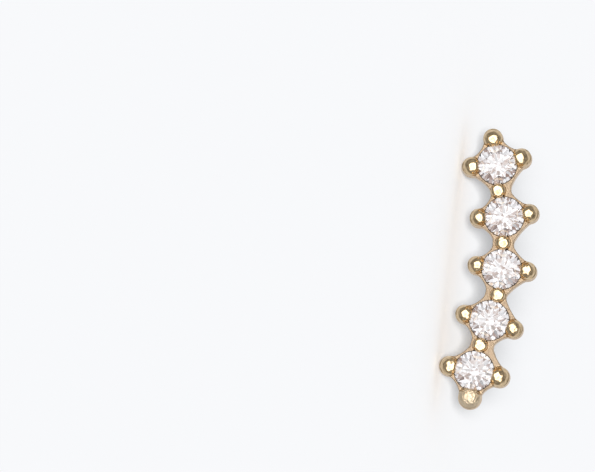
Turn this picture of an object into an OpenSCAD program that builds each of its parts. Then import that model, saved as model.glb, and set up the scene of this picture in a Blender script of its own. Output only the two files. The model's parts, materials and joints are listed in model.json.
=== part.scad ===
// Ear climber: five round stones in a curved row of cups with shared prongs,
// and a straight post behind the lobe end. Sizes in millimetres.
// The row is laid out flat first: X to the right, Y up the row, Z out of its face, with
// the prongs' feet at Z = 0. It is then turned the way it rests by itself, on two feet
// of its hollow side and the tip of the post.

/* [Stones] */
// Diameter of each stone across its girdle
stone_d = 2; // [1.8:0.02:2.1]
// Width of the flat table as a share of the stone's diameter
table_share = 0.58; // [0.52:0.01:0.64]
// Slope of the main crown facets, in degrees
crown_angle = 34; // [31:0.5:37]
// Slope of the main pavilion facets, in degrees
pavilion_angle = 41; // [39:0.5:43]
// Height of the girdle where it is thickest
girdle_h = 0.08; // [0.06:0.01:0.12]
// How far the star facets reach from the table's edge to the girdle, as a share
star_reach = 0.5; // [0.4:0.02:0.6]
// How far the lower half facets reach from the girdle to the culet, as a share
half_reach = 0.76; // [0.68:0.02:0.84]
// Clearance between a stone and the metal round it
stone_gap = 0.04; // [0.03:0.005:0.06]

/* [Row] */
// Distance between the centres of two neighbouring stones
pitch = 2.67; // [2.6:0.01:2.8]
// Height of the girdle's lower edge above the back of the setting
girdle_z = 1.5; // [1.3:0.05:1.7]

/* [Cups] */
// Thickness of the cup's rim where it is thinnest, beside the girdle
cup_wall = 0.08; // [0.07:0.01:0.12]
// Diameter of the open hole behind each stone
hole_d = 1.24; // [1:0.02:1.3]
// How far the walls between the prongs stop short of the prongs' feet
back_step = 0.15; // [0.1:0.01:0.25]
// Width of the neck that joins two cups
neck_d = 1.06; // [0.98:0.02:1.1]

/* [Prongs] */
// Diameter of a side prong's rounded head
head_d = 0.86; // [0.8:0.01:0.9]
// Diameter of a head that two stones share
shared_d = 0.75; // [0.7:0.01:0.8]
// How far the heads stand above the girdle's upper edge
head_h = 0.47; // [0.42:0.01:0.55]
// Distance from the girdle to the middle of a side prong
prong_out = 0.3; // [0.26:0.01:0.34]
// How far a head reaches over the edge of its stone
head_lap = 0.06; // [0.04:0.01:0.1]
// Width of the step between a head and the thicker stem under it
shoulder = 0.035; // [0.02:0.005:0.05]
// How much further out than the stem its rounded foot bulges
foot_flare = 0.025; // [0.015:0.005:0.04]

/* [Post] */
// Diameter of the ear post
post_d = 0.8; // [0.7:0.02:0.9]
// Length of the post behind the setting, up to its rounded tip
post_l = 10.4; // [9:0.1:12]
// Diameter of the solder pad that the post stands on
pad_d = 1; // [0.92:0.02:1.1]
// Height of the solder pad
pad_h = 0.3; // [0.2:0.02:0.5]

/* [Hidden] */
$fn = 64;

GOLD = [0.8, 0.66, 0.4];
STONE_WHITE = [0.93, 0.93, 0.95];

// Seats from the top of the row to the lobe end.
// Columns: turns of the left and right prongs and heading of the link to the next seat,
// all in degrees clockwise, sizes of the left and right heads as shares of head_d,
// sideways offset of the prong shared with the next stone as a share of pitch,
// distance to the wall above the right prong as a share of the cup's radius, and width
// of the neck to the next seat as a share of neck_d. The neck with the post is widest.
SEATS = [
    [-3.4, -15.3, -7.7, 1.03, 1.05, -0.045, 1, 0.98],
    [-1.6, -7.8, 2.9, 0.98, 1, 0, 1, 1],
    [10.2, 4.1, 13.8, 0.98, 1, 0.041, 1.02, 1],
    [15, 19.4, 16.8, 1, 1.02, -0.03, 1.07, 1.09],
    [12, 13.6, 0, 1.08, 1.13, 0, 1.16, 1],
];
LEFT_TURN = 0;
RIGHT_TURN = 1;
HEADING = 2;
LEFT_HEAD = 3;
RIGHT_HEAD = 4;
SHARED_OFFSET = 5;
UPPER_WALL = 6;
NECK_WIDTH = 7;
LAST = len(SEATS) - 1;

// Prongs at the two ends of the row.
// Columns: turn in degrees clockwise, size of the head as a share of head_d, and
// distance from the stone's centre as a share of the side prongs' distance.
TOP_END = [-8.5, 1.07, 1.05];
LOBE_END = [10.3, 1.28, 1.04];
END_TURN = 0;
END_HEAD = 1;
END_REACH = 2;

// Quarters round a seat, counted from its right-hand prong towards its upper one
RIGHT = 0;
UP = 1;
LEFT = 2;
DOWN = 3;
QUARTERS = [RIGHT, UP, LEFT, DOWN];

// Facets of a round brilliant: main facets round the stone, and girdle points
// between the middles of two neighbouring half facets
MAINS = 8;
GIRDLE_STEPS = 4;
MAIN_STEP = 360 / MAINS;
HALF_STEP = MAIN_STEP / 2;
RING = 2 * MAINS * GIRDLE_STEPS;

// Share of a stem's radius that the hollow walls between prongs aim for,
// so that each stem stands proud of them
WEB_SINK = 0.85;
// Width of the shared prong's stem as a share of its head
STEM_SHARE = 0.97;
// How far the stem's shoulder lies below the middle of the head, as a share of the head
SHOULDER_DROP = 0.1;

stone_r = stone_d / 2;
table_r = stone_r * table_share;
star_r = table_r + star_reach * (stone_r - table_r);
junction_r = stone_r * (1 - half_reach);
girdle_top = girdle_z + girdle_h;
table_z = girdle_top + (stone_r - table_r) * tan(crown_angle);
star_z = girdle_top + (stone_r - star_r * cos(HALF_STEP)) * tan(crown_angle);
culet_z = girdle_z - stone_r * tan(pavilion_angle);
junction_z = culet_z + junction_r * cos(HALF_STEP) * tan(pavilion_angle);
// Slopes of the upper and lower half facets
upper_slope = (star_z - girdle_top) / ((stone_r - star_r) * cos(HALF_STEP / 2));
lower_slope = (girdle_z - junction_z) / ((stone_r - junction_r) * cos(HALF_STEP / 2));

seat_r = stone_r + stone_gap;
cup_r = seat_r + cup_wall;
hole_r = hole_d / 2;
post_r = post_d / 2;
prong_reach = stone_r + prong_out;
head_top = girdle_top + head_h;
// Depth of the pins, cuts and stems that run past or into another solid
overrun = pad_h + back_step;

function unit(v) = v / norm(v);
function stem_radius(head_r) = head_r + shoulder;
function foot_radius(head_r) = stem_radius(head_r) + foot_flare;

// Direction at so many degrees clockwise from a quarter of the flat layout
function bearing(quarter, turn) = [cos(90 * quarter - turn), sin(90 * quarter - turn)];

// Centre of a stone, found by walking down the links from the first stone
function stone_at(i) =
    i == 0 ? [0, 0] : stone_at(i - 1) + pitch * bearing(DOWN, SEATS[i - 1][HEADING]);

// Neck between stone i and the next one, and centre of the prong on it
function neck_at(i) = (stone_at(i) + stone_at(i + 1)) / 2;
function neck_radius(i) = SEATS[i][NECK_WIDTH] * neck_d / 2;
function shared_at(i) =
    neck_at(i) + SEATS[i][SHARED_OFFSET] * pitch * bearing(RIGHT, SEATS[i][HEADING]);

// Turn, head size and reach of a prong that holds only stone i
function own_entry(i, quarter) =
    quarter == LEFT ? [SEATS[i][LEFT_TURN], SEATS[i][LEFT_HEAD], 1]
    : quarter == RIGHT ? [SEATS[i][RIGHT_TURN], SEATS[i][RIGHT_HEAD], 1]
    : quarter == UP ? TOP_END
    : LOBE_END;

function own_prong_at(i, quarter) =
    let (entry = own_entry(i, quarter))
    stone_at(i) + entry[END_REACH] * prong_reach * bearing(quarter, entry[END_TURN]);

function own_head(i, quarter) = own_entry(i, quarter)[END_HEAD] * head_d / 2;

// Centre of the neck or prong that stands in a quarter of seat i
function arm_at(i, quarter) =
    quarter == UP && i > 0 ? neck_at(i - 1)
    : quarter == DOWN && i < LAST ? neck_at(i)
    : own_prong_at(i, quarter);

function is_shared(i, quarter) = (quarter == UP && i > 0) || (quarter == DOWN && i < LAST);

// Radius that the walls beside an arm of the cup aim for
function arm_radius(i, quarter) =
    WEB_SINK * (
        !is_shared(i, quarter) ? stem_radius(own_head(i, quarter))
        : neck_radius(quarter == UP ? i - 1 : i)
    );

// Hollow of the wall between two arms a and b, seen from the stone's centre: the circle
// that touches both arms and the round wall_r about the stone from outside, as
// [centre, radius]. Its centre is base + slope * radius, and touching the round then
// gives a quadratic in the radius.
function solved(a, b, ka, kb) = [ka * b.y - kb * a.y, a.x * kb - b.x * ka] / (a.x * b.y - a.y * b.x);
function hollow(a, ra, b, rb, wall_r) =
    let (
        base = solved(a, b, (a * a + wall_r ^ 2 - ra ^ 2) / 2, (b * b + wall_r ^ 2 - rb ^ 2) / 2),
        slope = solved(a, b, wall_r - ra, wall_r - rb),
        square_term = slope * slope - 1,
        half_linear = base * slope - wall_r,
        constant = base * base - wall_r ^ 2,
        radius = (-half_linear - sqrt(half_linear ^ 2 - square_term * constant)) / square_term
    )
    [base + slope * radius, radius];

// Hollow that follows a quarter's arm in seat i, counter-clockwise
function seat_hollow(i, quarter) =
    let (next = (quarter + 1) % 4, centre = stone_at(i))
    hollow(
        arm_at(i, quarter) - centre, arm_radius(i, quarter),
        arm_at(i, next) - centre, arm_radius(i, next),
        cup_r * (quarter == RIGHT ? SEATS[i][UPPER_WALL] : 1)
    );

// Prongs that hold one stone only, as [seat, quarter]
OWN_PRONGS = [
    for (i = [0:LAST]) for (quarter = QUARTERS) if (!is_shared(i, quarter)) [i, quarter]
];

// Balls at the two ends of each of those prongs, as [centre, radius]
function foot_ball(i, quarter) =
    let (r = foot_radius(own_head(i, quarter)), at = own_prong_at(i, quarter)) [[at.x, at.y, r], r];
function head_ball(i, quarter) =
    let (r = own_head(i, quarter), at = own_prong_at(i, quarter))
    [[at.x, at.y, head_top - r], stem_radius(r)];

// Where the post stands, and the ball at its tip
post_at = neck_at(LAST - 1);
tip_ball = [[post_at.x, post_at.y, post_r - post_l], post_r];

// The surface under the resting part touches three balls: the feet of the first and
// last left-hand prongs and the post's tip. rest_up is its upward normal.
rest_first = foot_ball(0, LEFT);
rest_last = foot_ball(LAST, LEFT);
rest_chord = rest_first[0] - rest_last[0];
rest_side = unit(rest_chord);
tip_arm = rest_first[0] - tip_ball[0];
tip_square = tip_arm - (tip_arm * rest_side) * rest_side;
tip_dir = unit(tip_square);
up_side = (rest_first[1] - rest_last[1]) / norm(rest_chord);
up_tip = (rest_first[1] - tip_ball[1] - up_side * (tip_arm * rest_side)) / norm(tip_square);
rest_up = up_side * rest_side + up_tip * tip_dir
    + sqrt(1 - up_side ^ 2 - up_tip ^ 2) * cross(rest_side, tip_dir);
rest_along = unit(-rest_chord + (rest_chord * rest_up) * rest_up);
rest_across = cross(rest_up, rest_along);

// Middle of the resting part's outline, from the balls that reach furthest
BALLS = concat(
    [for (p = OWN_PRONGS) foot_ball(p[0], p[1])],
    [for (p = OWN_PRONGS) head_ball(p[0], p[1])],
    [tip_ball]
);
function middle(axis) =
    (min([for (b = BALLS) b[0] * axis - b[1]]) + max([for (b = BALLS) b[0] * axis + b[1]])) / 2;
rest_floor = rest_first[0] * rest_up - rest_first[1];
REST = [
    [rest_along.x, rest_along.y, rest_along.z, -middle(rest_along)],
    [rest_across.x, rest_across.y, rest_across.z, -middle(rest_across)],
    [rest_up.x, rest_up.y, rest_up.z, -rest_floor],
    [0, 0, 0, 1],
];

// Points of a brilliant, ring by ring from the table down
function ring_point(r, angle, z) = [r * cos(angle), r * sin(angle), z];
// How far the arc of the girdle stands out from the flat of a half facet
function bulge(j) =
    let (off = (j % GIRDLE_STEPS) / GIRDLE_STEPS - 0.5)
    stone_r * (cos(off * HALF_STEP) - cos(HALF_STEP / 2));
STONE_POINTS = concat(
    [for (k = [0:MAINS - 1]) ring_point(table_r, k * MAIN_STEP, table_z)],
    [for (k = [0:MAINS - 1]) ring_point(star_r, (k + 0.5) * MAIN_STEP, star_z)],
    [for (j = [0:RING - 1]) ring_point(stone_r, j * 360 / RING, girdle_top - upper_slope * bulge(j))],
    [for (j = [0:RING - 1]) ring_point(stone_r, j * 360 / RING, girdle_z + lower_slope * bulge(j))],
    [for (k = [0:MAINS - 1]) ring_point(junction_r, (k + 0.5) * MAIN_STEP, junction_z)],
    [[0, 0, culet_z]]
);

// Indices into those points
function table_i(k) = k % MAINS;
function star_i(k) = MAINS + (k + MAINS) % MAINS;
function upper_i(j) = 2 * MAINS + j % RING;
function lower_i(j) = 2 * MAINS + RING + j % RING;
function junction_i(k) = 2 * MAINS + 2 * RING + (k + MAINS) % MAINS;
CULET = 3 * MAINS + 2 * RING;
// First girdle point under main facet k, and under the half facet beside it
function main_j(k) = 2 * GIRDLE_STEPS * k;
function half_j(k) = main_j(k) + GIRDLE_STEPS;

STONE_FACES = concat(
    [[for (k = [MAINS - 1:-1:0]) table_i(k)]],
    [for (k = [0:MAINS - 1]) [table_i(k + 1), star_i(k), table_i(k)]],
    [for (k = [0:MAINS - 1]) [star_i(k), upper_i(main_j(k)), star_i(k - 1), table_i(k)]],
    [for (k = [0:MAINS - 1]) for (start = [main_j(k), half_j(k)])
        concat([star_i(k)], [for (s = [GIRDLE_STEPS:-1:0]) upper_i(start + s)])],
    [for (j = [0:RING - 1]) [upper_i(j), upper_i(j + 1), lower_i(j + 1), lower_i(j)]],
    [for (k = [0:MAINS - 1]) for (start = [main_j(k), half_j(k)])
        concat([for (s = [0:GIRDLE_STEPS]) lower_i(start + s)], [junction_i(k)])],
    [for (k = [0:MAINS - 1]) [CULET, junction_i(k - 1), lower_i(main_j(k)), junction_i(k)]]
);

// Turns the flat layout the way the part rests
module resting() {
    multmatrix(REST) children();
}

module stone(i) {
    resting() translate(stone_at(i)) rotate(-(SEATS[i][LEFT_TURN] + SEATS[i][RIGHT_TURN]) / 2)
        color(STONE_WHITE) polyhedron(STONE_POINTS, STONE_FACES);
}

// Outline of one cup with its hollow walls, out to the middles of its four arms
module cup_outline(i) {
    hollows = [for (quarter = QUARTERS) seat_hollow(i, quarter)];
    arms = [for (quarter = QUARTERS) arm_at(i, quarter) - stone_at(i)];
    translate(stone_at(i)) difference() {
        polygon([for (quarter = QUARTERS) each [arms[quarter], hollows[quarter][0]]]);
        for (h = hollows) translate(h[0]) circle(h[1]);
    }
}

module cups() {
    translate([0, 0, back_step]) linear_extrude(girdle_z - back_step) {
        for (i = [0:LAST]) cup_outline(i);
        for (i = [0:LAST - 1]) translate(neck_at(i)) circle(neck_radius(i));
    }
}

// A prong that holds one stone: round head, thicker stem and rounded foot
module own_prong(i, quarter) {
    head_r = own_head(i, quarter);
    foot_r = foot_radius(head_r);
    head_z = head_top - head_r;
    shoulder_z = head_z - SHOULDER_DROP * head_r;
    translate(own_prong_at(i, quarter)) {
        translate([0, 0, head_z]) sphere(head_r);
        translate([0, 0, foot_r]) cylinder(h = shoulder_z - foot_r, r = stem_radius(head_r));
        translate([0, 0, foot_r]) sphere(foot_r);
    }
}

// A prong between two stones: a smaller head on the neck of the cups
module shared_prong(i) {
    head_r = shared_d / 2;
    head_z = head_top - head_r;
    translate(shared_at(i)) {
        translate([0, 0, head_z]) sphere(head_r);
        translate([0, 0, girdle_z / 2]) cylinder(h = head_z - girdle_z / 2, r = STEM_SHARE * head_r);
    }
}

// Straight post with a round tip, on a pad behind the last neck
module post() {
    translate(post_at) {
        translate([0, 0, post_r - post_l]) cylinder(h = post_l - post_r + overrun, r = post_r);
        translate([0, 0, post_r - post_l]) sphere(post_r);
        translate([0, 0, back_step - pad_h])
            cylinder(h = pad_h, r1 = (post_d + pad_d) / 4, r2 = pad_d / 2);
    }
}

// Room for stone i: its own outline with clearance, the hole behind it
// and the way in between the heads
module seat_cut(i) {
    below = culet_z - stone_gap / cos(pavilion_angle);
    above = girdle_top + stone_gap / cos(crown_angle);
    trim_r = stone_r - head_lap;
    translate(stone_at(i)) rotate_extrude() polygon([
        [0, -overrun],
        [hole_r, -overrun],
        [hole_r, below + hole_r * tan(pavilion_angle)],
        [seat_r, below + seat_r * tan(pavilion_angle)],
        [seat_r, above + (stone_r - seat_r) * tan(crown_angle)],
        [trim_r, above + (stone_r - trim_r) * tan(crown_angle)],
        [trim_r, head_top + overrun],
        [0, head_top + overrun],
    ]);
}

module setting() {
    resting() color(GOLD) difference() {
        union() {
            cups();
            for (p = OWN_PRONGS) own_prong(p[0], p[1]);
            for (i = [0:LAST - 1]) shared_prong(i);
            post();
        }
        for (i = [0:LAST]) seat_cut(i);
    }
}

setting();
stone(0);  // stone_1
stone(1);  // stone_2
stone(2);  // stone_3
stone(3);  // stone_4
stone(4);  // stone_5
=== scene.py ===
"""Ear climber: the looks of a curved row of five round stones in a gold-plated casting.

The casting is rebuilt as one smooth solid from the same driving sizes as its CAD node, with
its beads pushed over the stones, fillets where metal runs into metal and rounded rims. The
stones keep their CAD solids. Sizes of the casting are millimetres in its flat layout: x to
the right, y up the row and z out of its face, with the prongs' feet at z = 0. Everything in
Blender is in metres, in the CAD frame.
"""

import json
import logging
import math
from dataclasses import dataclass
from enum import Enum, IntEnum
from functools import cached_property

import bpy
import numpy as np
from mathutils import Matrix, Vector


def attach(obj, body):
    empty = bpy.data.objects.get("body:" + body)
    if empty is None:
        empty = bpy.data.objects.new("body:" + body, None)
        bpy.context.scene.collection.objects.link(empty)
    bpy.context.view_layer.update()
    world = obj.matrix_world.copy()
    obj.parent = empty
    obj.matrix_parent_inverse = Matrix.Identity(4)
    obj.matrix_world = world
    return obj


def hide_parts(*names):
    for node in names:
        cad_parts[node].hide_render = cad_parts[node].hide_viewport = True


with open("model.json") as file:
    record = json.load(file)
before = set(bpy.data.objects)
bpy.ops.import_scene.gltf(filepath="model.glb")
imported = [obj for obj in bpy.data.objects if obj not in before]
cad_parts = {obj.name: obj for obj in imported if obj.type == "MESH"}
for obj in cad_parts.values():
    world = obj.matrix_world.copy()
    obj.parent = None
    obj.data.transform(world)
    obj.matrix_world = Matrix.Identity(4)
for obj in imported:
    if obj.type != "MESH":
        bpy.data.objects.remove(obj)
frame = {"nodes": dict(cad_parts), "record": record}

MM = 0.001
# Nearly all values of Blender's noise lie between these
NOISE_LOW, NOISE_HIGH = 0.3, 0.7
log = logging.getLogger("ear_climber")

Array = np.ndarray


def linear(hex_colour: str) -> tuple[float, float, float, float]:
    """Turns an sRGB colour into Blender's linear one.

    Args:
        hex_colour: The colour as "#rrggbb".

    Returns:
        Linear red, green and blue, and an alpha of 1.
    """
    shares = [int(hex_colour[i : i + 2], 16) / 255 for i in (1, 3, 5)]
    bent = [s / 12.92 if s <= 0.04045 else ((s + 0.055) / 1.055) ** 2.4 for s in shares]
    return (bent[0], bent[1], bent[2], 1.0)


def add_node(tree: bpy.types.NodeTree, kind: str, settings: dict, links: dict) -> bpy.types.Node:
    """Adds one node to a tree.

    Args:
        tree: The node tree that takes the node.
        kind: Blender's name for the node's type.
        settings: Values by name or number of an input, or by name of a property of the node.
        links: Sockets that feed an input, by the input's name or number.

    Returns:
        The new node.
    """
    node = tree.nodes.new(kind)
    for key, value in settings.items():
        if isinstance(key, int):
            node.inputs[key].default_value = value
        elif hasattr(node, key):
            setattr(node, key, value)
        else:
            node.inputs[key].default_value = value
    for key, socket in links.items():
        tree.links.new(socket, node.inputs[key])
    return node


def smooth_min(a: Array, b: Array, blend: float) -> Array:
    """Union of two distances, with a fillet about as wide as blend where they meet."""
    near = np.maximum(blend - np.abs(a - b), 0.0) / blend
    return np.minimum(a, b) - near * near * blend * 0.25


def smooth_max(a: Array, b: Array, blend: float) -> Array:
    """Intersection of two distances, with an edge rounded over about blend."""
    return -smooth_min(-a, -b, blend)


class Quarter(IntEnum):
    """The four prongs round a seat, counted from its right-hand one towards its upper one."""

    RIGHT = 0
    UP = 1
    LEFT = 2
    DOWN = 3


class Bead(Enum):
    """How a prong's head was finished."""

    PUSHED = "pushed over one stone and burnished"
    SHARED = "pressed flat between two stones"
    BRUSHED = "left large and brushed"


def bearing(quarter: Quarter, turn: float) -> Array:
    """Unit vector at so many degrees clockwise from a quarter of the flat layout."""
    angle = math.radians(90 * quarter - turn)
    return np.array([math.cos(angle), math.sin(angle)])


@dataclass(frozen=True)
class Seat:
    """One stone's place in the row.

    Turns and heading are degrees clockwise, heads are shares of the usual head, the offset
    of the shared bead is a share of the pitch, the wall is a share of the cup's radius and
    the neck is a share of the usual neck.
    """

    left_turn: float
    right_turn: float
    heading: float
    left_head: float
    right_head: float
    shared_offset: float
    upper_wall: float
    neck_width: float


@dataclass(frozen=True)
class Prong:
    """A prong of the casting, in the flat layout."""

    centre: Array
    inward: Array
    head_r: float
    bead: Bead


@dataclass
class Row:
    """The flat layout of the row, with the driving sizes of the CAD model in millimetres."""

    stone_d: float = 2.0
    stone_gap: float = 0.04
    pavilion_angle: float = 41.0
    crown_angle: float = 34.0
    girdle_h: float = 0.08
    pitch: float = 2.67
    girdle_z: float = 1.5
    cup_wall: float = 0.08
    hole_d: float = 1.24
    back_step: float = 0.15
    neck_d: float = 1.06
    head_d: float = 0.86
    shared_d: float = 0.75
    head_h: float = 0.47
    prong_out: float = 0.3
    head_lap: float = 0.06
    shoulder: float = 0.035
    foot_flare: float = 0.025
    post_d: float = 0.8
    post_l: float = 10.4
    pad_d: float = 1.0
    pad_h: float = 0.3
    # The hollow walls run out at this share of the round of a prong or a neck
    web_sink: float = 0.85
    # The two end prongs: degrees clockwise, and shares of the usual head and reach
    top_end: tuple[float, float, float] = (-8.5, 1.07, 1.05)
    lobe_end: tuple[float, float, float] = (10.3, 1.28, 1.04)
    seats: tuple[Seat, ...] = (
        Seat(-3.4, -15.3, -7.7, 1.03, 1.05, -0.045, 1.0, 0.98),
        Seat(-1.6, -7.8, 2.9, 0.98, 1.0, 0.0, 1.0, 1.0),
        Seat(10.2, 4.1, 13.8, 0.98, 1.0, 0.041, 1.02, 1.0),
        Seat(15.0, 19.4, 16.8, 1.0, 1.02, -0.03, 1.07, 1.09),
        Seat(12.0, 13.6, 0.0, 1.08, 1.13, 0.0, 1.16, 1.0),
    )

    @property
    def last(self) -> int:
        """Number of the seat at the lobe end."""
        return len(self.seats) - 1

    @property
    def stone_r(self) -> float:
        """Radius of a stone."""
        return self.stone_d / 2

    @property
    def seat_r(self) -> float:
        """Radius of the round opening that takes a stone."""
        return self.stone_r + self.stone_gap

    @property
    def cup_r(self) -> float:
        """Outer radius of a cup where its wall is thinnest."""
        return self.seat_r + self.cup_wall

    @property
    def girdle_top(self) -> float:
        """Height of the girdle's upper edge."""
        return self.girdle_z + self.girdle_h

    @property
    def culet_z(self) -> float:
        """Height of a stone's point."""
        return self.girdle_z - self.stone_r * math.tan(math.radians(self.pavilion_angle))

    @property
    def head_top(self) -> float:
        """Height of the tops of the beads."""
        return self.girdle_top + self.head_h

    @cached_property
    def stones(self) -> list[Array]:
        """Centres of the stones, found by walking down the links from the first one."""
        centres = [np.zeros(2)]
        for seat in self.seats[:-1]:
            centres.append(centres[-1] + self.pitch * bearing(Quarter.DOWN, seat.heading))
        return centres

    def neck_at(self, i: int) -> Array:
        """Middle of the neck between stone i and the next one."""
        return (self.stones[i] + self.stones[i + 1]) / 2

    def neck_r(self, i: int) -> float:
        """Radius of the neck between stone i and the next one."""
        return self.seats[i].neck_width * self.neck_d / 2

    def is_shared(self, i: int, quarter: Quarter) -> bool:
        """Whether a quarter of seat i is a neck with a shared bead."""
        return (quarter is Quarter.UP and i > 0) or (quarter is Quarter.DOWN and i < self.last)

    def own_prong(self, i: int, quarter: Quarter) -> Prong:
        """The prong that holds only stone i in a quarter of its seat.

        Args:
            i: Number of the seat from the top of the row.
            quarter: Where the prong stands round the seat.

        Returns:
            The prong.
        """
        seat = self.seats[i]
        turn, head, reach = {
            Quarter.LEFT: (seat.left_turn, seat.left_head, 1.0),
            Quarter.RIGHT: (seat.right_turn, seat.right_head, 1.0),
            Quarter.UP: self.top_end,
            Quarter.DOWN: self.lobe_end,
        }[quarter]
        outward = bearing(quarter, turn)
        centre = self.stones[i] + reach * (self.stone_r + self.prong_out) * outward
        bead = Bead.BRUSHED if quarter is Quarter.DOWN else Bead.PUSHED
        return Prong(centre, -outward, head * self.head_d / 2, bead)

    @cached_property
    def prongs(self) -> list[Prong]:
        """Every prong: those of one stone, then those that two stones share."""
        own = [
            self.own_prong(i, quarter)
            for i in range(len(self.seats))
            for quarter in Quarter
            if not self.is_shared(i, quarter)
        ]
        shared = []
        for i, seat in enumerate(self.seats[:-1]):
            side = bearing(Quarter.RIGHT, seat.heading)
            centre = self.neck_at(i) + seat.shared_offset * self.pitch * side
            shared.append(Prong(centre, side, self.shared_d / 2, Bead.SHARED))
        return own + shared

    def arm(self, i: int, quarter: Quarter) -> tuple[Array, float]:
        """What a quarter's walls run out to: its middle from the stone's centre, and radius."""
        if self.is_shared(i, quarter):
            link = i - 1 if quarter is Quarter.UP else i
            return self.neck_at(link) - self.stones[i], self.web_sink * self.neck_r(link)
        prong = self.own_prong(i, quarter)
        return prong.centre - self.stones[i], self.web_sink * (prong.head_r + self.shoulder)

    def hollow(self, i: int, quarter: Quarter) -> tuple[Array, float]:
        """Circle of the hollow wall that follows a quarter's arm, counter-clockwise.

        Args:
            i: Number of the seat.
            quarter: The arm before the wall.

        Returns:
            Its centre from the stone's centre, and its radius: the circle touches both arms
            and the round of the cup from outside.
        """
        (a, ra), (b, rb) = self.arm(i, quarter), self.arm(i, Quarter((quarter + 1) % 4))
        wall = self.cup_r * (self.seats[i].upper_wall if quarter is Quarter.RIGHT else 1.0)
        both = np.array([a, b])
        base = np.linalg.solve(both, [(a @ a + wall**2 - ra**2) / 2, (b @ b + wall**2 - rb**2) / 2])
        slope = np.linalg.solve(both, [wall - ra, wall - rb])
        square, half, rest = slope @ slope - 1, base @ slope - wall, base @ base - wall**2
        radius = (-half - math.sqrt(half**2 - square * rest)) / square
        return base + slope * radius, radius


class Placement:
    """Where the flat layout lies in the CAD frame, read from the stones and the post."""

    def __init__(self, row: Row) -> None:
        """Fits the layout to the culets of the end stones and the post's direction.

        Args:
            row: The flat layout.
        """
        up = -np.array(frame["record"]["mounts"][0]["axis"])
        up /= np.linalg.norm(up)
        first, last = (self.culet(f"stone_{k}", up) for k in (1, row.last + 1))
        along_flat = np.append(row.stones[-1] - row.stones[0], 0.0)
        along = last - first
        along -= (along @ up) * up
        flat = self.axes(along_flat, np.array([0.0, 0.0, 1.0]))
        self.turn = self.axes(along, up) @ flat.T
        self.origin = first - self.turn @ (np.append(row.stones[0], row.culet_z) * MM)

    @staticmethod
    def culet(node: str, up: Array) -> Array:
        """The point of a CAD stone that lies furthest back."""
        corners = np.array([v.co for v in frame["nodes"][node].data.vertices])
        return corners[(corners @ up).argmin()]

    @staticmethod
    def axes(along: Array, up: Array) -> Array:
        """Right-handed unit axes, as columns, from a direction and the normal to it."""
        along = along / np.linalg.norm(along)
        return np.column_stack([along, np.cross(up, along), up])

    def points(self, flat: Array) -> Array:
        """Flat points in millimetres as points of the CAD frame in metres."""
        return self.origin + (flat * MM) @ self.turn.T

    def direction(self, flat: tuple[float, float, float]) -> Vector:
        """Unit vector of the CAD frame for a direction of the flat layout."""
        return Vector(self.turn @ np.array(flat)).normalized()


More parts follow.
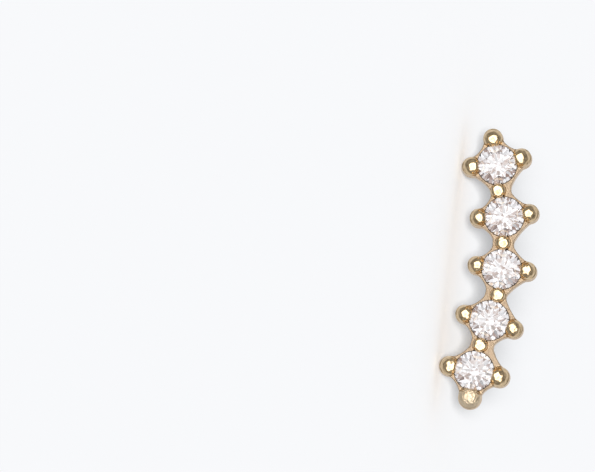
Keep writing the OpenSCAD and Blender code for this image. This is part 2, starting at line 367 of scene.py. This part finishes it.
@dataclass(frozen=True)
class Vermeil:
    """Sterling silver, lost-wax cast and plated with 18-carat gold.

    The plating is pale yellow. The burnished beads mirror the studio in bright broken spots,
    the cast walls behind them keep a fine orange-peel grain, the webs' faces were
    bead-blasted and are matt, the brushed bead at the lobe end has a satin glow,
    and the drawn wire of the post is smooth. The webs' faces that face out of the front also
    get a darker greyish peach tone, which is partly their own colour and partly painted shade.
    """

    bright: str = "#ecd0a6"
    wall: str = "#e3c39a"
    # Tone of the blasted webs' front faces: its darkness below the plating is painted shade
    web_blast_and_shade: str = "#ad9982"
    pale: str = "#f2dcbc"
    # The wax's orange-peel is 0.03 mm and is drawn at 0.07 mm, the finest that shows
    grain_mm: float = 0.07
    grain_depth_mm: float = 0.014
    # How strongly the grain shows on polished metal and on cast metal
    grain_strength: tuple[float, float] = (0.3, 0.6)
    # How much the grain evens out or roughens the sheen in patches
    patchiness: tuple[float, float] = (0.8, 1.25)
    # Brush marks are 0.01 mm and are drawn at 0.1 mm for the same reason
    brush_mm: float = 0.1
    brush_depth_mm: float = 0.088
    burnished: float = 0.15
    cast: float = 0.3
    blasted: float = 0.6
    satin: float = 0.23

    def build(self) -> bpy.types.Material:
        """Makes the material.

        Returns:
            The material, which reads the casting's cast, web and satin shares; the web share also lays
            painted shade on the webs' front faces.
        """
        material = bpy.data.materials.new("gold_vermeil_cast_and_burnished")
        material.use_nodes = True
        tree = material.node_tree
        tree.nodes.clear()
        place = add_node(tree, "ShaderNodeTexCoord", {}, {}).outputs["Object"]
        cast, web_blast_and_shade, satin = (
            add_node(tree, "ShaderNodeAttribute", {"attribute_name": name}, {}).outputs["Fac"]
            for name in ("cast", "web_blast_and_shade", "satin")
        )
        grain = add_node(tree, "ShaderNodeTexNoise",
            {"Scale": 1 / (self.grain_mm * MM), "Detail": 3.0}, {"Vector": place}).outputs["Fac"]
        brush = add_node(tree, "ShaderNodeTexNoise",
            {"Scale": 1 / (self.brush_mm * MM), "Detail": 4.0}, {"Vector": place}).outputs["Fac"]
        colour = add_node(tree, "ShaderNodeMix",
            {"data_type": "RGBA", 6: linear(self.bright), 7: linear(self.wall)}, {0: cast}).outputs[2]
        sheen = add_node(tree, "ShaderNodeMapRange",
            {"To Min": self.burnished, "To Max": self.cast}, {"Value": cast}).outputs[0]
        # The blasted webs get their matt sheen and a darker tone that is painted shade; the brushed bead
        # gets its pale satin tone
        for share, tone, dull in ((web_blast_and_shade, self.web_blast_and_shade, self.blasted), (satin, self.pale, self.satin)):
            colour = add_node(tree, "ShaderNodeMix",
                {"data_type": "RGBA", 7: linear(tone)}, {0: share, 6: colour}).outputs[2]
            sheen = add_node(tree, "ShaderNodeMix",
                {"data_type": "FLOAT", 3: dull}, {0: share, 2: sheen}).outputs[0]
        patchy = add_node(tree, "ShaderNodeMapRange",
            {"From Min": NOISE_LOW, "From Max": NOISE_HIGH,
             "To Min": self.patchiness[0], "To Max": self.patchiness[1]},
            {"Value": grain}).outputs[0]
        rough = add_node(tree, "ShaderNodeMath", {"operation": "MULTIPLY"},
            {0: sheen, 1: patchy}).outputs[0]
        coarse = add_node(tree, "ShaderNodeMapRange",
            {"To Min": self.grain_strength[0], "To Max": self.grain_strength[1]},
            {"Value": cast}).outputs[0]
        grained = add_node(tree, "ShaderNodeBump", {"Distance": self.grain_depth_mm * MM},
            {"Height": grain, "Strength": coarse})
        brushed = add_node(tree, "ShaderNodeBump", {"Distance": self.brush_depth_mm * MM},
            {"Height": brush, "Normal": grained.outputs[0], "Strength": satin})
        shader = add_node(tree, "ShaderNodeBsdfPrincipled", {"Metallic": 1.0},
            {"Base Color": colour, "Roughness": rough, "Normal": brushed.outputs[0]})
        add_node(tree, "ShaderNodeOutputMaterial", {}, {"Surface": shader.outputs[0]})
        return material


@dataclass(frozen=True)
class Zirconia:
    """Cubic zirconia, brilliant cut and polished.

    It is colourless and bends light nearly as strongly as diamond, so its facets flash white
    and grey, with a little of the gold from the cup behind.
    """

    tint: str = "#fdfcff"
    ior: float = 2.16
    # Polishing haze is far too fine to see and is drawn in patches of a fifth of a millimetre
    haze_mm: float = 0.2
    haze_rough: float = 0.03
    # Values of the noise between which a patch goes from clear to hazy
    haze_range: tuple[float, float] = (0.45, 0.75)

    def build(self) -> bpy.types.Material:
        """Makes the material.

        Returns:
            The material.
        """
        material = bpy.data.materials.new("cubic_zirconia_brilliant_cut")
        material.use_nodes = True
        tree = material.node_tree
        tree.nodes.clear()
        place = add_node(tree, "ShaderNodeTexCoord", {}, {}).outputs["Object"]
        haze = add_node(tree, "ShaderNodeTexNoise",
            {"Scale": 1 / (self.haze_mm * MM), "Detail": 2.0}, {"Vector": place}).outputs["Fac"]
        rough = add_node(tree, "ShaderNodeMapRange",
            {"From Min": self.haze_range[0], "From Max": self.haze_range[1],
             "To Max": self.haze_rough},
            {"Value": haze}).outputs[0]
        shader = add_node(tree, "ShaderNodeBsdfPrincipled",
            {"Base Color": linear(self.tint), "Transmission Weight": 1.0, "IOR": self.ior},
            {"Roughness": rough})
        add_node(tree, "ShaderNodeOutputMaterial", {}, {"Surface": shader.outputs[0]})
        return material


@dataclass(frozen=True)
class Paper:
    """Smooth white photographic paper, uncoated: it is even and has no gloss."""

    tone: str = "#e8e9eb"

    def build(self) -> bpy.types.Material:
        """Makes the material.

        Returns:
            The material.
        """
        material = bpy.data.materials.new("white_paper_uncoated")
        material.use_nodes = True
        tree = material.node_tree
        tree.nodes.clear()
        shader = add_node(tree, "ShaderNodeBsdfDiffuse", {"Color": linear(self.tone)}, {})
        add_node(tree, "ShaderNodeOutputMaterial", {}, {"Surface": shader.outputs[0]})
        return material


@dataclass
class Casting:
    """The setting: cups, necks, prongs, solder pad and post as one smooth solid."""

    row: Row
    place: Placement
    # Spacing of the grid round the form, and along the plain post
    step: float = 0.05
    post_step: float = 0.2
    rim_round: float = 0.06
    fillet: float = 0.09
    # Rounding in tight corners, and where a head or the pad sits on its stem
    crease: float = 0.03
    seam: float = 0.05
    # The brushed bead leans by a share of what the others do, and a lean grows over a height
    head_lean: float = 0.055
    brushed_lean: float = 0.4
    lean_height: float = 0.12
    # Where the shoulder lies below a head's middle, as a share of its radius
    shoulder_drop: float = 0.1
    # How much narrower a head is along its lean, and how much wider across it
    head_squash: tuple[float, float] = (1.03, 0.98)
    # A shared bead: its stem's share of its radius, the radius of its top and its rounding
    shared_stem: float = 0.97
    dome_r: float = 0.68
    dome_round: float = 0.14
    solder_fillet: float = 0.16
    burnish_edge: float = 0.08
    # The burnisher reaches the beads only down to a little below the girdles
    head_share: float = 0.35
    # Its tip leaves dents about a quarter of a millimetre wide, which are drawn as waves
    dent_mm: float = 0.26
    dent_depth: float = 0.004
    dent_ways: tuple[tuple[float, float, float], ...] = (
        (0.91, 0.3, -0.29), (-0.42, 0.84, 0.35), (0.21, -0.5, 0.84), (0.6, 0.55, 0.58),
        (-0.7, 0.13, 0.7),
    )
    # The blasted finish and its painted shade start where the normal's z is one over this, and are full
    # at twice it
    web_slope: float = 3.0
    # The brush's reach round the lobe-end head, as a share of its radius, and its fade
    satin_reach: float = 1.15
    satin_fade: float = 0.25
    satin_low_z: float = 1.2
    satin_rise: float = 0.2
    # The metal is pressed closer to the stones than their clearance in the CAD model
    grip_gap: float = 0.015
    # How far round a prong or a seat the metal can feel it, and where only the post is left
    prong_reach: float = 0.45
    seat_reach: float = 0.35
    post_only_z: float = -0.5
    # Chosen so that no level of the grid lies in a flat face, which would leave slivers
    margin: float = 0.17
    # How often the points are drawn onto the surface, and over what reach its slope is felt
    rounds: int = 2
    slope_reach: float = 0.004
    # How far the room cut for a stone runs on past the metal, in front and behind
    beyond: float = 1.0

    @cached_property
    def post_at(self) -> Array:
        """Where the post stands."""
        return self.row.neck_at(self.row.last - 1)

    def outline(self, x: Array, y: Array) -> Array:
        """Distance to the outline of the cups and necks, seen along z.

        Args:
            x: Flat x of the points.
            y: Flat y of the points.

        Returns:
            The distance, negative inside.
        """
        row = self.row
        found = np.full_like(x, np.inf)
        for i, centre in enumerate(row.stones):
            px, py = x - centre[0], y - centre[1]
            cup = np.full_like(px, -np.inf)
            for quarter in Quarter:
                arm, _ = row.arm(i, quarter)
                reach = math.hypot(*arm)
                cup = np.maximum(cup, (px * arm[0] + py * arm[1]) / reach - reach)
                middle, radius = row.hollow(i, quarter)
                cup = np.maximum(cup, radius - np.hypot(px - middle[0], py - middle[1]))
            found = np.minimum(found, cup)
        for i in range(row.last):
            neck = row.neck_at(i)
            round_neck = np.hypot(x - neck[0], y - neck[1]) - row.neck_r(i)
            found = smooth_min(found, round_neck, self.fillet)
        return found

    def dents(self, x: Array, y: Array, z: Array) -> Array:
        """Depth of the burnisher's dents at points on the beads."""
        total = np.zeros_like(x)
        for k, (ax, ay, az) in enumerate(self.dent_ways):
            total += np.sin(2 * math.pi / self.dent_mm * (ax * x + ay * y + az * z) + k)
        return self.dent_depth * total

    def stem_and_head(self, prong: Prong, x: Array, y: Array, z: Array) -> Array:
        """Distance to one prong.

        Args:
            prong: The prong.
            x: Flat x of the points.
            y: Flat y of the points.
            z: Flat z of the points.

        Returns:
            The distance, negative inside.
        """
        row, head_r = self.row, prong.head_r
        head_z = row.head_top - head_r
        px, py = x - prong.centre[0], y - prong.centre[1]
        away = np.hypot(px, py)
        if prong.bead is Bead.SHARED:
            stem = np.maximum(away - self.shared_stem * head_r,
                np.maximum(z - head_z, row.girdle_z / 2 - z))
            dome_z = row.head_top - self.dome_r
            dome = np.sqrt(away**2 + (z - dome_z) ** 2) - self.dome_r + self.dents(x, y, z)
            edge = smooth_max(away - head_r, row.girdle_z / 2 - z, self.rim_round)
            return smooth_min(stem, smooth_max(dome, edge, self.dome_round), self.crease)
        stem_r = head_r + row.shoulder
        foot_r = stem_r + row.foot_flare
        shoulder_z = head_z - self.shoulder_drop * head_r
        stem = smooth_max(away - stem_r, np.maximum(z - shoulder_z, foot_r - z), self.rim_round)
        foot = np.sqrt(away**2 + (z - foot_r) ** 2) - foot_r
        lean = self.head_lean * (1.0 if prong.bead is Bead.PUSHED else self.brushed_lean)
        radial = px * prong.inward[0] + py * prong.inward[1]
        tangent = px * prong.inward[1] - py * prong.inward[0]
        rise = np.clip((z - shoulder_z) / (head_z - shoulder_z + self.lean_height), 0.0, 1.0)
        along, across = self.head_squash
        radial = (radial - lean * rise) * along
        head = np.sqrt(radial**2 + (tangent * across) ** 2 + (z - head_z) ** 2) - head_r
        if prong.bead is Bead.PUSHED:
            head = head + self.dents(x, y, z)
        return smooth_min(smooth_min(stem, foot, self.crease), head, self.seam)

    def stone_room(self, i: int, x: Array, y: Array, z: Array) -> Array:
        """Distance to the room cut for stone i, for points near its seat.

        Args:
            i: Number of the seat.
            x: Flat x of the points.
            y: Flat y of the points.
            z: Flat z of the points.

        Returns:
            The distance, negative inside the room.
        """
        row = self.row
        pavilion = math.tan(math.radians(row.pavilion_angle))
        crown = math.tan(math.radians(row.crown_angle))
        below = row.culet_z - self.grip_gap / math.cos(math.radians(row.pavilion_angle))
        above = row.girdle_top + self.grip_gap / math.cos(math.radians(row.crown_angle))
        seat_r, trim_r, hole_r = row.stone_r + self.grip_gap, row.stone_r - row.head_lap, row.hole_d / 2
        corners = [
            (0.0, -self.beyond), (hole_r, -self.beyond), (hole_r, below + hole_r * pavilion),
            (seat_r, below + seat_r * pavilion),
            (seat_r, above + (row.stone_r - seat_r) * crown),
            (trim_r, above + (row.stone_r - trim_r) * crown),
            (trim_r, row.head_top + self.beyond), (0.0, row.head_top + self.beyond),
        ]
        away = np.hypot(x - row.stones[i][0], y - row.stones[i][1])
        nearest = np.full_like(away, np.inf)
        inside = np.zeros(away.shape, bool)
        for (ax, az), (bx, bz) in zip(corners, corners[1:] + corners[:1]):
            ex, ez = bx - ax, bz - az
            wx, wz = away - ax, z - az
            share = np.clip((wx * ex + wz * ez) / (ex * ex + ez * ez), 0.0, 1.0)
            nearest = np.minimum(nearest, (wx - ex * share) ** 2 + (wz - ez * share) ** 2)
            if ez != 0.0:
                crosses = ((az > z) != (bz > z)) & (away < ax + ex * (z - az) / ez)
                inside ^= crosses
        return np.where(inside, -1.0, 1.0) * np.sqrt(nearest)

    def post(self, x: Array, y: Array, z: Array) -> Array:
        """Distance to the post with its round tip and solder pad."""
        row, r = self.row, self.row.post_d / 2
        away = np.hypot(x - self.post_at[0], y - self.post_at[1])
        tip_z = r - row.post_l
        shaft = np.maximum(away - r, np.maximum(z - row.girdle_z / 2, tip_z - z))
        tip = np.sqrt(away**2 + (z - tip_z) ** 2) - r
        spread = np.clip((z - row.back_step) / row.pad_h + 1.0, 0.0, 1.0)
        pad_r = (r + row.pad_d / 2) / 2 + spread * (row.pad_d / 2 - r) / 2
        pad = smooth_max(away - pad_r, np.maximum(z - row.girdle_z / 2, row.back_step - row.pad_h - z),
            self.rim_round)
        return smooth_min(np.minimum(shaft, tip), pad, self.seam)

    def distance(self, x: Array, y: Array, z: Array) -> Array:
        """Distance to the whole casting.

        Args:
            x: Flat x of the points.
            y: Flat y of the points.
            z: Flat z of the points.

        Returns:
            The distance, negative inside the metal.
        """
        row = self.row
        post = self.post(x, y, z)
        if np.all(z < self.post_only_z):
            return post
        slab = np.maximum(z - row.girdle_z, row.back_step - z)
        solid = smooth_max(self.outline(x, y), slab, self.rim_round)
        solid = smooth_min(solid, post, self.solder_fillet)
        for prong in row.prongs:
            away = np.hypot(x - prong.centre[0], y - prong.centre[1])
            near = away < prong.head_r + self.prong_reach
            if near.any():
                at = tuple(v[near] for v in (x, y, z))
                solid[near] = smooth_min(solid[near], self.stem_and_head(prong, *at), self.fillet)
        for i, centre in enumerate(row.stones):
            near = np.hypot(x - centre[0], y - centre[1]) < row.seat_r + self.seat_reach
            if near.any():
                at = tuple(v[near] for v in (x, y, z))
                solid[near] = smooth_max(solid[near], -self.stone_room(i, *at), self.crease)
        return solid

    def grid(self) -> tuple[Array, Array, Array]:
        """Grid lines that take in the whole casting, finer where the form is.

        Returns:
            The lines along x, y and z.
        """
        row = self.row
        ends = np.array([p.centre for p in row.prongs])
        reach = max(p.head_r for p in row.prongs) + self.margin
        low, high = ends.min(0) - reach, ends.max(0) + reach
        xs, ys = (np.arange(low[k], high[k] + self.step, self.step) for k in (0, 1))
        tip, pad = row.post_d / 2 - row.post_l, row.back_step - row.pad_h - self.margin
        zs = np.concatenate([
            np.arange(-row.post_l - self.margin, tip, self.step),
            np.arange(tip, pad, self.post_step),
            np.arange(pad, row.head_top + self.margin, self.step),
        ])
        return xs, ys, zs

    def net(self) -> tuple[Array, Array]:
        """Draws a net of four-sided faces over the casting's surface.

        Each grid cell that the surface passes through gets one point, in the middle of where
        the surface crosses the cell's edges, and each crossed edge gets one face.

        Returns:
            The flat points in millimetres, and each face's four point numbers.
        """
        lines = self.grid()
        across = np.meshgrid(lines[0], lines[1], indexing="ij")
        levels = [self.distance(*across, np.full_like(across[0], z)) for z in lines[2]]
        value = np.stack(levels, axis=2)
        shape = value.shape
        total = np.zeros((value.size, 3))
        count = np.zeros(value.size)
        faces = []
        for axis in range(3):
            low = tuple(slice(0, -1) if k == axis else slice(1, -1) for k in range(3))
            high = tuple(slice(1, None) if k == axis else slice(1, -1) for k in range(3))
            a, b = value[low], value[high]
            crossed = np.argwhere((a < 0) != (b < 0))
            va, vb = a[tuple(crossed.T)], b[tuple(crossed.T)]
            start = crossed + [0 if k == axis else 1 for k in range(3)]
            points = np.column_stack([lines[k][start[:, k]] for k in range(3)])
            ahead = lines[axis][start[:, axis] + 1]
            points[:, axis] += (ahead - points[:, axis]) * va / (va - vb)
            u, v = (axis + 1) % 3, (axis + 2) % 3
            ring = []
            for du, dv in ((0, 0), (-1, 0), (-1, -1), (0, -1)):
                cell = start.copy()
                cell[:, u] += du
                cell[:, v] += dv
                ring.append(np.ravel_multi_index(tuple(cell.T), shape))
            for cell in ring:
                count += np.bincount(cell, minlength=value.size)
                for k in range(3):
                    total[:, k] += np.bincount(cell, weights=points[:, k], minlength=value.size)
            quads = np.column_stack(ring)
            leaves = (va < 0)[:, None]
            faces.append(np.where(leaves, quads, quads[:, ::-1]))
        used = np.flatnonzero(count)
        renumber = np.zeros(value.size, np.int64)
        renumber[used] = np.arange(len(used))
        return total[used] / count[used, None], renumber[np.vstack(faces)]

    def normals(self, points: Array) -> Array:
        """Unit normals of the casting's surface at points near it."""
        slopes = []
        for k in range(3):
            shift = np.zeros(3)
            shift[k] = self.slope_reach
            slopes.append(self.distance(*(points + shift).T) - self.distance(*(points - shift).T))
        slope = np.column_stack(slopes)
        return slope / np.linalg.norm(slope, axis=1)[:, None]

    def build(self, material: bpy.types.Material) -> bpy.types.Object:
        """Makes the casting.

        Args:
            material: The finish of the metal.

        Returns:
            The piece, which rides on the root body and stands for the setting's CAD node.
        """
        points, faces = self.net()
        for _ in range(self.rounds):
            normals = self.normals(points)
            points = points - normals * self.distance(*points.T)[:, None]
        normals = self.normals(points)
        off_beads = np.min([self.stem_and_head(prong, *points.T) for prong in self.row.prongs], axis=0)
        on_head = np.clip((points[:, 2] - self.row.girdle_z) / self.head_share + 1.0, 0.0, 1.0)
        off_head = 1.0 - on_head * np.clip(1.0 - off_beads / self.burnish_edge, 0.0, 1.0)
        cast = off_head * np.clip(self.post(*points.T) / self.burnish_edge, 0.0, 1.0)
        # Painted shade: cast faces that face out of the front get the webs' darker tone as well as their
        # blasted finish
        web_blast_and_shade = cast * np.clip(self.web_slope * normals[:, 2] - 1.0, 0.0, 1.0)
        lobe = self.row.own_prong(self.row.last, Quarter.DOWN)
        away = np.hypot(*(points[:, :2] - lobe.centre).T) / lobe.head_r
        satin = np.clip((self.satin_reach - away) / self.satin_fade, 0.0, 1.0)
        satin *= np.clip((points[:, 2] - self.satin_low_z) / self.satin_rise, 0.0, 1.0)
        mesh = bpy.data.meshes.new("cast_setting")
        mesh.from_pydata(self.place.points(points), [], faces)
        mesh.update()
        mesh.normals_split_custom_set_from_vertices(normals @ self.place.turn.T)
        for name, shares in (("cast", cast), ("web_blast_and_shade", web_blast_and_shade), ("satin", satin)):
            layer = mesh.attributes.new(name, "FLOAT", "POINT")
            layer.data.foreach_set("value", shares.astype(np.float32))
        mesh.materials.append(material)
        piece = bpy.data.objects.new("cast_setting", mesh)
        bpy.context.scene.collection.objects.link(piece)
        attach(piece, "root")
        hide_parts("setting")
        log.info("cast_setting: %d points, %d faces", len(points), len(faces))
        return piece


@dataclass
class Stones:
    """The five brilliants, which keep their CAD solids."""

    names: tuple[str, ...] = ("stone_1", "stone_2", "stone_3", "stone_4", "stone_5")

    def dress(self, material: bpy.types.Material) -> None:
        """Gives each stone its finish.

        Args:
            material: The finish of the stones.
        """
        for name in self.names:
            stone = frame["nodes"][name]
            stone.material_slots[0].material = material
            log.info("%s: dressed", name)


@dataclass
class Studio:
    """White paper, a light tent in front of the row, and the camera."""

    row: Row
    place: Placement
    # Frame of the photograph, and where the middle stone's girdle shows in it, in pixels
    picture_px: tuple[float, float] = (595.0, 472.0)
    middle_px: tuple[float, float] = (501.7, 269.2)
    px_per_mm: float = 19.75
    # How far the camera stands off the face's normal, to picture right and picture up
    lean_deg: tuple[float, float] = (1.5, -3.7)
    lens_mm: float = 300.0
    sensor_mm: float = 36.0
    floor_m: float = 4.0
    # Brightness of the studio as polished things mirror it, from in front of the row round
    # to behind it: the dark opening that the camera looks through, the bright tent round it,
    # the dim room at the sides and the paper behind
    opening: float = 1.3
    tent: float = 3.2
    room: float = 0.31
    paper: float = 0.42
    opening_deg: tuple[float, float] = (5.0, 14.0)
    tent_deg: tuple[float, float] = (42.0, 54.0)
    paper_deg: tuple[float, float] = (100.0, 130.0)
    # The middle of the tent, off the face's normal
    tent_from: tuple[float, float, float] = (0.03, -0.08, 1.0)
    # How unevenly the tent is lit, between which values of the noise, and the noise's scale
    # over the whole sky
    patches: tuple[float, float] = (0.45, 1.3)
    patch_range: tuple[float, float] = (0.35, 0.65)
    patch_scale: float = 5.0
    # What the stones send back: a share of the tent's light, warmer where the tent is dim
    through_stones: float = 0.36
    warm: str = "#d3a690"
    warm_share: float = 0.9
    warm_range: tuple[float, float] = (0.5, 0.35)
    # The light that makes the paper look as pale as the backdrop, the share of it that comes
    # from an even sky, and the soft lamp from beside the camera that gives the rest
    paper_light: float = 1.163
    sky: float = 0.45
    lamp_from: tuple[float, float, float] = (0.06, -0.045, 1.0)
    lamp_deg: float = 10.0
    backdrop: str = "#f8f9fb"
    white: str = "#ffffff"
    near_m: float = 0.01
    far_m: float = 20.0
    # Bounces of light inside the stones, and between polished metal
    stone_bounces: int = 24
    mirror_bounces: int = 12

    def add_camera(self) -> None:
        """Places the camera so that the row lies where the photograph shows it."""
        side, rise = (math.tan(math.radians(a)) for a in self.lean_deg)
        wide, tall = self.picture_px
        distance = self.lens_mm * wide / (self.sensor_mm * self.px_per_mm)
        off_x = (self.middle_px[0] - wide / 2) / self.px_per_mm
        off_y = (tall / 2 - self.middle_px[1]) / self.px_per_mm
        back = self.place.direction((side + off_x / distance, rise + off_y / distance, 1.0))
        up = self.place.direction((0.0, 1.0, 0.0))
        right = up.cross(back).normalized()
        up = back.cross(right)
        middle = self.row.stones[len(self.row.stones) // 2]
        target = Vector(self.place.points(np.append(middle, self.row.girdle_top)))
        eye = target + (back * distance - right * off_x - up * off_y) * MM
        camera = bpy.data.objects.new("camera", bpy.data.cameras.new("camera"))
        camera.data.sensor_width = self.sensor_mm
        camera.data.lens = self.lens_mm
        camera.data.clip_start, camera.data.clip_end = self.near_m, self.far_m
        camera.matrix_world = Matrix.Translation(eye) @ Matrix((right, up, back)).transposed().to_4x4()
        bpy.context.scene.collection.objects.link(camera)
        bpy.context.scene.camera = camera

    def add_floor(self, material: bpy.types.Material) -> None:
        """Lays the paper that the ear climber rests on.

        Args:
            material: The paper.
        """
        half = self.floor_m / 2
        mesh = bpy.data.meshes.new("paper_floor")
        mesh.from_pydata([(-half, -half, 0), (half, -half, 0), (half, half, 0), (-half, half, 0)], [],
            [(0, 1, 2, 3)])
        mesh.materials.append(material)
        floor = bpy.data.objects.new("paper_floor", mesh)
        bpy.context.scene.collection.objects.link(floor)
        floor.visible_glossy = False
        floor.visible_transmission = False

    def add_sky(self) -> None:
        """Lights the row with a tent in front of it, and the paper evenly from all round."""
        world = bpy.data.worlds.new("studio")
        world.use_nodes = True
        world.cycles.sampling_method = "NONE"
        bpy.context.scene.world = world
        tree = world.node_tree
        tree.nodes.clear()
        way = add_node(tree, "ShaderNodeTexCoord", {}, {}).outputs["Generated"]
        ray = add_node(tree, "ShaderNodeLightPath", {}, {}).outputs
        facing = add_node(tree, "ShaderNodeVectorMath",
            {"operation": "DOT_PRODUCT", 1: self.place.direction(self.tent_from)}, {0: way})
        # Each zone goes from one brightness to another between two angles off the axis
        zones = {
            "opening": (self.opening_deg, self.opening / self.tent, 1.0),
            "tent": (self.tent_deg, self.tent, self.room),
            "paper": (self.paper_deg, 0.0, self.paper),
        }
        level = {}
        for name, ((start_deg, end_deg), start, end) in zones.items():
            level[name] = add_node(tree, "ShaderNodeMapRange",
                {"interpolation_type": "SMOOTHSTEP", "To Min": start, "To Max": end,
                 "From Min": math.cos(math.radians(start_deg)),
                 "From Max": math.cos(math.radians(end_deg))},
                {"Value": facing.outputs["Value"]}).outputs[0]
        cloud = add_node(tree, "ShaderNodeTexNoise",
            {"Scale": self.patch_scale, "Detail": 1.5}, {"Vector": way}).outputs["Fac"]
        uneven = add_node(tree, "ShaderNodeMapRange",
            {"From Min": self.patch_range[0], "From Max": self.patch_range[1],
             "To Min": self.patches[0], "To Max": self.patches[1]},
            {"Value": cloud}).outputs[0]
        front = add_node(tree, "ShaderNodeMath", {"operation": "MULTIPLY"},
            {0: level["opening"], 1: level["tent"]}).outputs[0]
        both = add_node(tree, "ShaderNodeMath", {"operation": "MULTIPLY_ADD"},
            {0: front, 1: uneven, 2: level["paper"]}).outputs[0]
        kept = add_node(tree, "ShaderNodeMapRange",
            {"To Min": 1.0, "To Max": self.through_stones},
            {"Value": ray["Is Transmission Ray"]}).outputs[0]
        shown = add_node(tree, "ShaderNodeMath", {"operation": "MULTIPLY"}, {0: both, 1: kept}).outputs[0]
        dim = add_node(tree, "ShaderNodeMapRange",
            {"From Min": self.warm_range[0], "From Max": self.warm_range[1],
             "To Max": self.warm_share},
            {"Value": cloud}).outputs[0]
        warmed = add_node(tree, "ShaderNodeMath", {"operation": "MULTIPLY"},
            {0: dim, 1: ray["Is Transmission Ray"]}).outputs[0]
        tone = add_node(tree, "ShaderNodeMix",
            {"data_type": "RGBA", 6: linear(self.white), 7: linear(self.warm)},
            {0: warmed}).outputs[2]
        mirrored = add_node(tree, "ShaderNodeBackground", {},
            {"Color": tone, "Strength": shown}).outputs[0]
        spread = add_node(tree, "ShaderNodeBackground",
            {"Color": linear(self.white), "Strength": self.sky * self.paper_light}, {}).outputs[0]
        seen = add_node(tree, "ShaderNodeBackground", {"Color": linear(self.backdrop)}, {}).outputs[0]
        lighting = add_node(tree, "ShaderNodeMixShader", {},
            {0: ray["Is Diffuse Ray"], 1: mirrored, 2: spread}).outputs[0]
        sky = add_node(tree, "ShaderNodeMixShader", {}, {0: ray["Is Camera Ray"], 1: lighting, 2: seen})
        add_node(tree, "ShaderNodeOutputWorld", {}, {"Surface": sky.outputs[0]})

    def add_lamp(self) -> None:
        """Adds the soft lamp that gives the paper its shadows and shows in nothing polished."""
        towards = self.place.direction(self.lamp_from)
        lamp = bpy.data.objects.new("paper_lamp", bpy.data.lights.new("paper_lamp", "SUN"))
        lamp.data.energy = (1 - self.sky) * self.paper_light * math.pi / towards.z
        lamp.data.angle = math.radians(self.lamp_deg)
        lamp.rotation_euler = towards.to_track_quat("Z", "Y").to_euler()
        lamp.visible_glossy = False
        lamp.visible_transmission = False
        bpy.context.scene.collection.objects.link(lamp)

    def set_picture(self) -> None:
        """Sets how the light is carried and shown."""
        scene = bpy.context.scene
        scene.view_settings.view_transform = "Standard"
        scene.view_settings.look = "None"
        scene.cycles.max_bounces = self.stone_bounces
        scene.cycles.transmission_bounces = self.stone_bounces
        scene.cycles.glossy_bounces = self.mirror_bounces
        scene.cycles.caustics_refractive = True
        scene.cycles.caustics_reflective = True


def main() -> None:
    """Builds every piece, then the studio."""
    logging.basicConfig(level=logging.INFO, format="%(message)s")
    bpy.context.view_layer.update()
    row = Row()
    place = Placement(row)
    Casting(row, place).build(Vermeil().build())
    Stones().dress(Zirconia().build())
    studio = Studio(row, place)
    studio.add_floor(Paper().build())
    studio.add_sky()
    studio.add_lamp()
    studio.add_camera()
    studio.set_picture()


if __name__ == "__main__":
    main()
